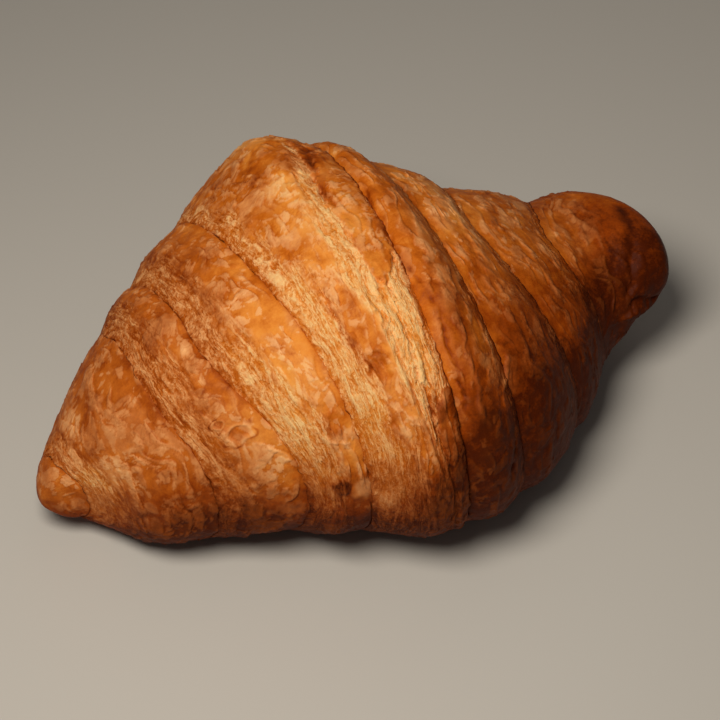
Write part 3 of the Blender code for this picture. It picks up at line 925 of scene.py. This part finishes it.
def crust_finish(colour_group):
    crust = bpy.data.materials.new("crust")
    crust.use_nodes = True
    tree = crust.node_tree
    shader = tree.nodes["Principled BSDF"]
    skin, brown, pale, depth = (attribute(tree, name).outputs["Fac"]
                                for name in ("skin", "brown", "pale", "depth"))
    place = add_node(tree, "ShaderNodeTexCoord").outputs["Object"]

    # Fibres: noise drawn out along the wrap, read on the places that follow it.
    strand = attribute(tree, "strand").outputs["Vector"]
    stretched = drawn_out(tree, strand, 0.5)
    fibre = grain(tree, stretched, 0.3, 2.0, 0.65)
    crumb = grain(tree, place, 0.36, 3.0, 0.65)

    # Painted glints: crisp pale flecks among the fibres, each cell with its own brightness.
    sway = add_node(tree, "ShaderNodeVectorMath", operation="MULTIPLY_ADD")
    sway.inputs[0].default_value = (0.5 * MM, 0.5 * MM, 0.5 * MM)
    tree.links.new(crumb, sway.inputs[0])
    sway.inputs[1].default_value = (0.7 * MM, 0.7 * MM, 0.7 * MM)
    tree.links.new(stretched, sway.inputs[2])
    cells = add_node(tree, "ShaderNodeTexVoronoi", feature="F1", voronoi_dimensions="3D")
    tree.links.new(sway.outputs[0], cells.inputs["Vector"])
    cells.inputs["Scale"].default_value = 1 / (0.25 * MM)
    parts = add_node(tree, "ShaderNodeSeparateColor")
    tree.links.new(cells.outputs["Color"], parts.inputs[0])
    glint_fleck = arithmetic(tree, "GREATER_THAN", parts.outputs[0], 0.8)
    gap = arithmetic(tree, "LESS_THAN", parts.outputs[0], 0.16)

    # Threads: thin lines between the layers, some dark and some pale.
    threads = grain(tree, drawn_out(tree, strand, 0.17), 1.0, 1.0, 0.5)
    dark_thread = thin_line(tree, threads, 0.5)
    pale_thread = thin_line(tree, threads, 0.62)

    # The strands of a cut edge are browned unevenly, and the ones that stand out are pale. The
    # depth they start from holds painted crease shade and painted light, and the flecks are painted
    # glints.
    level = depth
    for source, weight in ((arithmetic(tree, "SUBTRACT", fibre, 0.5), 0.7),
                           (arithmetic(tree, "SUBTRACT", crumb, 0.5), 0.5),
                           (glint_fleck, 0.26), (gap, -0.18), (dark_thread, -0.24), (pale_thread, 0.2)):
        level = arithmetic(tree, "MULTIPLY_ADD", source, weight, level)
    level = arithmetic(tree, "SUBTRACT", level, 0.5)
    cut_brown = arithmetic(tree, "MULTIPLY_ADD", level, -0.32, brown)
    cut_pale = arithmetic(tree, "MULTIPLY_ADD", level, 1.5, 0.5, clamp=True)
    colour = use_group(tree, colour_group, Browning=blend_values(tree, skin, cut_brown, brown),
                       Paleness=blend_values(tree, skin, cut_pale, pale))
    tree.links.new(colour, shader.inputs["Base Color"])

    dull = blend_values(tree, skin, CUT_ROUGHNESS, SKIN_ROUGHNESS)
    tree.links.new(arithmetic(tree, "MULTIPLY_ADD", crumb, 0.2, dull), shader.inputs["Roughness"])
    shader.inputs["IOR"].default_value = 1.25
    shader.inputs["Specular IOR Level"].default_value = 0.2

    pores = grain(tree, place, 0.7, 3.0, 0.6)
    bump = add_node(tree, "ShaderNodeBump")
    bump.inputs["Strength"].default_value = 0.7
    bump.inputs["Distance"].default_value = FINEST_BUMP
    standing = arithmetic(tree, "MULTIPLY_ADD", parts.outputs[0], 0.5, fibre)
    standing = arithmetic(tree, "MULTIPLY_ADD", dark_thread, -0.6, standing)
    tree.links.new(blend_values(tree, skin, standing, arithmetic(tree, "MULTIPLY", pores, 0.6)),
                   bump.inputs["Height"])
    tree.links.new(bump.outputs["Normal"], shader.inputs["Normal"])
    return crust


# ---------------------------------------------------------------------------------------------
# Floor, light and camera.

FLOOR_COLOUR = (0.55, 0.53, 0.50, 1)
ROOM_COLOUR, ROOM_LIGHT = (1.0, 0.94, 0.87, 1), 0.08
# Lamps: degrees round the object, degrees up, distance and width in metres, power, colour.
LAMPS = (("key", 226, 62, 0.34, 0.18, 1.04, (1.0, 0.92, 0.80)),
         ("fill", 50, 42, 0.9, 0.8, 0.4, (1.0, 0.88, 0.74)))
LAMP_AIM = (-0.005, -0.005, 0.035)


def studio():
    """A plain pale floor, a dim warm room and two soft lamps."""
    deselect_all()
    bpy.ops.mesh.primitive_plane_add(size=6.0, location=(0, 0, 0))
    floor = bpy.context.active_object
    floor.name = "floor"
    pale = bpy.data.materials.new("floor")
    pale.use_nodes = True
    shader = pale.node_tree.nodes["Principled BSDF"]
    shader.inputs["Base Color"].default_value = FLOOR_COLOUR
    shader.inputs["Roughness"].default_value = 0.9
    floor.data.materials.append(pale)

    world = bpy.data.worlds.new("studio")
    bpy.context.scene.world = world
    world.use_nodes = True
    world.node_tree.nodes["Background"].inputs["Color"].default_value = ROOM_COLOUR
    world.node_tree.nodes["Background"].inputs["Strength"].default_value = ROOM_LIGHT
    for recipe in LAMPS:
        lamp(*recipe)


def lamp(name, turn, rise, distance, size, power, colour):
    """A round soft light, aimed at the middle of the croissant."""
    turn, rise = math.radians(turn), math.radians(rise)
    toward = Vector((math.cos(turn) * math.cos(rise), math.sin(turn) * math.cos(rise),
                     math.sin(rise)))
    light = bpy.data.lights.new(name, "AREA")
    light.shape = "DISK"
    light.size = size
    light.energy = power
    light.color = colour
    holder = bpy.data.objects.new(name, light)
    holder.location = Vector(LAMP_AIM) + toward * distance
    holder.rotation_euler = toward.to_track_quat("Z", "Y").to_euler()
    bpy.context.collection.objects.link(holder)


VIEW_TURN, VIEW_RISE, VIEW_ROLL = -18.5, 44.1, 5.15      # degrees
VIEW_DISTANCE = 0.50                 # metres
LENS = 116.5                         # focal length in millimetres
AIM_HEIGHT, AIM_ASIDE = 20.0, 4.3    # millimetres from the rolling axis' middle


def camera():
    turn, rise, roll = (math.radians(value) for value in (VIEW_TURN, VIEW_RISE, VIEW_ROLL))
    back = Vector((math.sin(turn) * math.cos(rise), -math.cos(turn) * math.cos(rise),
                   math.sin(rise)))
    right = Vector((math.cos(turn), math.sin(turn), 0.0))
    up = back.cross(right)
    target = Vector((SHIFT_X, 0.0, AIM_HEIGHT)) * MM + right * AIM_ASIDE * MM
    tilted_right = right * math.cos(roll) - up * math.sin(roll)
    tilted_up = right * math.sin(roll) + up * math.cos(roll)
    turned = Matrix((tilted_right, tilted_up, back)).transposed()
    lens = bpy.data.cameras.new("camera")
    lens.lens = LENS
    holder = bpy.data.objects.new("camera", lens)
    bpy.context.collection.objects.link(holder)
    holder.matrix_world = Matrix.Translation(target + back * VIEW_DISTANCE) @ turned.to_4x4()
    bpy.context.scene.camera = holder


# ---------------------------------------------------------------------------------------------
# Wraps: the creases they lie between, the cut edges on the low and the high side, the profile,
# points around, and cuts across in two rounds.

WRAPS = (
    ("left_tip", None, 0, None, None, None, 340, (9, 4)),
    ("left_outer_wrap", 0, 1, CUT_OUTER, None, LEFT_WRAP, 600, (9, 10)),
    ("left_middle_wrap", 1, 2, CUT_MIDDLE, None, LEFT_WRAP, 760, (9, 7)),
    ("left_inner_wrap", 2, 3, CUT_INNER, None, LEFT_WRAP, 850, (9, 8)),
    ("crown_wrap", 3, 4, CUT_CROWN_LEFT, CUT_CROWN_RIGHT, CROWN_WRAP, 860, (9, 10)),
    ("right_inner_wrap", 4, 5, None, CUT_RIGHT, RIGHT_WRAP, 880, (9, 6)),
    ("right_middle_wrap", 5, 6, None, CUT_RIGHT, RIGHT_WRAP, 780, (9, 8)),
    ("right_outer_wrap", 6, 7, None, CUT_RIGHT, RIGHT_WRAP, 500, (9, 8)),
    ("right_tip", 7, None, None, None, None, 440, (9, 11)),
)

bpy.context.scene.view_settings.view_transform = "Standard"
crust = crust_finish(baked_colour())
for recipe in WRAPS:
    wrap = build_wrap(*recipe)
    wrap.data.materials.append(crust)
    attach(wrap, BODY)
    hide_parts(NODE)

studio()
camera()
